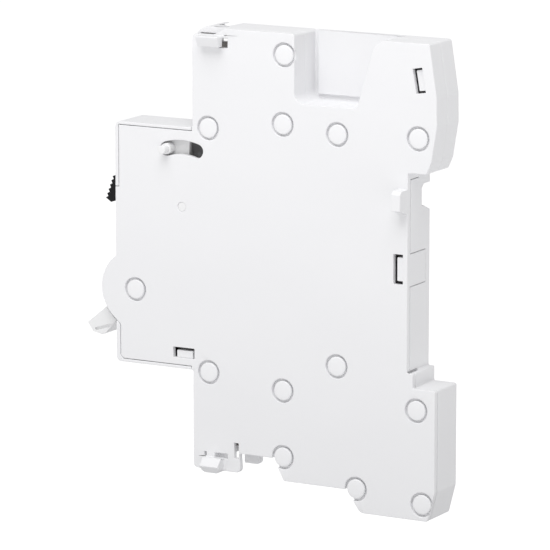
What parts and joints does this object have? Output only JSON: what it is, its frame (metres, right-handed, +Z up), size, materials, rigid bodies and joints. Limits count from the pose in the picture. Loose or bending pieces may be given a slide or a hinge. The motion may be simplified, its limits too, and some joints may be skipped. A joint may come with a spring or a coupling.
{
  "type": "auxiliary contact block",
  "caption": "Slim changeover auxiliary contact block that clips to the side of a circuit breaker on a 35 mm rail, with a coupling pin, a toggle and a test slider.",
  "frame": {"origin": "on the rail seat, at the rail's centre line and the middle of the width", "axes": "+X out of the side that meets the breaker, +Y into the rail, +Z up"},
  "size_m": [0.0119, 0.0752, 0.0884],
  "materials": {
    "housing_plastic": "fine spark-eroded matt",
    "mechanism_plastic": "smooth moulded",
    "rivet_finish": "satin",
    "slider_plastic": "satin moulded",
    "brass_parts": "rolled strip",
    "contact_metal": "silver alloy, bright",
    "screw_steel": "zinc plated",
    "spring_wire": "drawn wire"
  },
  "bodies": {
    "housing": {"base_shell": "housing_plastic", "cover_shell": "housing_plastic", "housing_rivets": "rivet_finish", "toggle_axle": "rivet_finish", "lever_axle": "mechanism_plastic", "rocker_axle": "brass_parts", "toggle_spring": "spring_wire", "lever_spring": "spring_wire", "common_rail": "brass_parts", "break_rail": "brass_parts", "make_rail": "brass_parts", "break_contact": "contact_metal", "make_contact": "contact_metal", "slider_spring": "spring_wire"},
    "toggle": {"toggle": "mechanism_plastic"},
    "lever": {"coupling_lever": "mechanism_plastic"},
    "rocker": {"contact_rocker": "mechanism_plastic", "rocker_bush": "brass_parts", "contact_blade": "brass_parts", "moving_contact": "contact_metal"},
    "slider": {"test_slider": "slider_plastic"},
    "upper_screw": {"upper_screw": "screw_steel"},
    "upper_clamp": {"upper_clamp": "screw_steel"},
    "front_screw": {"front_screw": "screw_steel"},
    "front_clamp": {"front_clamp": "screw_steel"},
    "rear_screw": {"rear_screw": "screw_steel"},
    "rear_clamp": {"rear_clamp": "screw_steel"}
  },
  "joints": [
    {"name": "toggle_turn", "type": "hinge", "parent": "housing", "child": "toggle", "pos_m": [0, -0.0577, -0.0084], "axis": [-1, 0, 0], "range_deg": [0, 72], "stiffness_Nm_per_rad": 0.003},
    {"name": "lever_turn", "type": "hinge", "parent": "housing", "child": "lever", "pos_m": [0, -0.0475, 0.00824], "axis": [-1, 0, 0], "range_deg": [0, 33.6], "stiffness_Nm_per_rad": 0.004},
    {"name": "rocker_turn", "type": "hinge", "parent": "housing", "child": "rocker", "pos_m": [0, -0.03336, -0.0059], "axis": [1, 0, 0], "range_deg": [0, 17.32]},
    {"name": "slider_travel", "type": "slide", "parent": "housing", "child": "slider", "axis": [0, 0, -1], "range_m": [0, 0.0016], "stiffness_N_per_m": 250, "deforming": ["slider_spring"]},
    {"name": "upper_screw_turn", "type": "hinge", "parent": "housing", "child": "upper_screw", "pos_m": [-0.0013, -0.0426, 0.0345], "axis": [0, 1, 0], "range_deg": [0, 1440]},
    {"name": "upper_clamp_travel", "type": "slide", "parent": "housing", "child": "upper_clamp", "axis": [0, -1, 0], "range_m": [0, 0.002]},
    {"name": "front_screw_turn", "type": "hinge", "parent": "housing", "child": "front_screw", "pos_m": [-0.0013, -0.035, -0.0341], "axis": [0, 1, 0], "range_deg": [0, 1440]},
    {"name": "front_clamp_travel", "type": "slide", "parent": "housing", "child": "front_clamp", "axis": [0, -1, 0], "range_m": [0, 0.002]},
    {"name": "rear_screw_turn", "type": "hinge", "parent": "housing", "child": "rear_screw", "pos_m": [-0.0013, -0.0234, -0.0299], "axis": [0, 1, 0], "range_deg": [0, 1440]},
    {"name": "rear_clamp_travel", "type": "slide", "parent": "housing", "child": "rear_clamp", "axis": [0, -1, 0], "range_m": [0, 0.002]}
  ],
  "couplings": [
    {"joint": "rocker_turn", "follows": "lever_turn", "ratio": 0.51491},
    {"joint": "upper_screw_turn", "follows": "upper_clamp_travel", "rad_per_m": 12566},
    {"joint": "front_screw_turn", "follows": "front_clamp_travel", "rad_per_m": 12566},
    {"joint": "rear_screw_turn", "follows": "rear_clamp_travel", "rad_per_m": 12566}
  ]
}
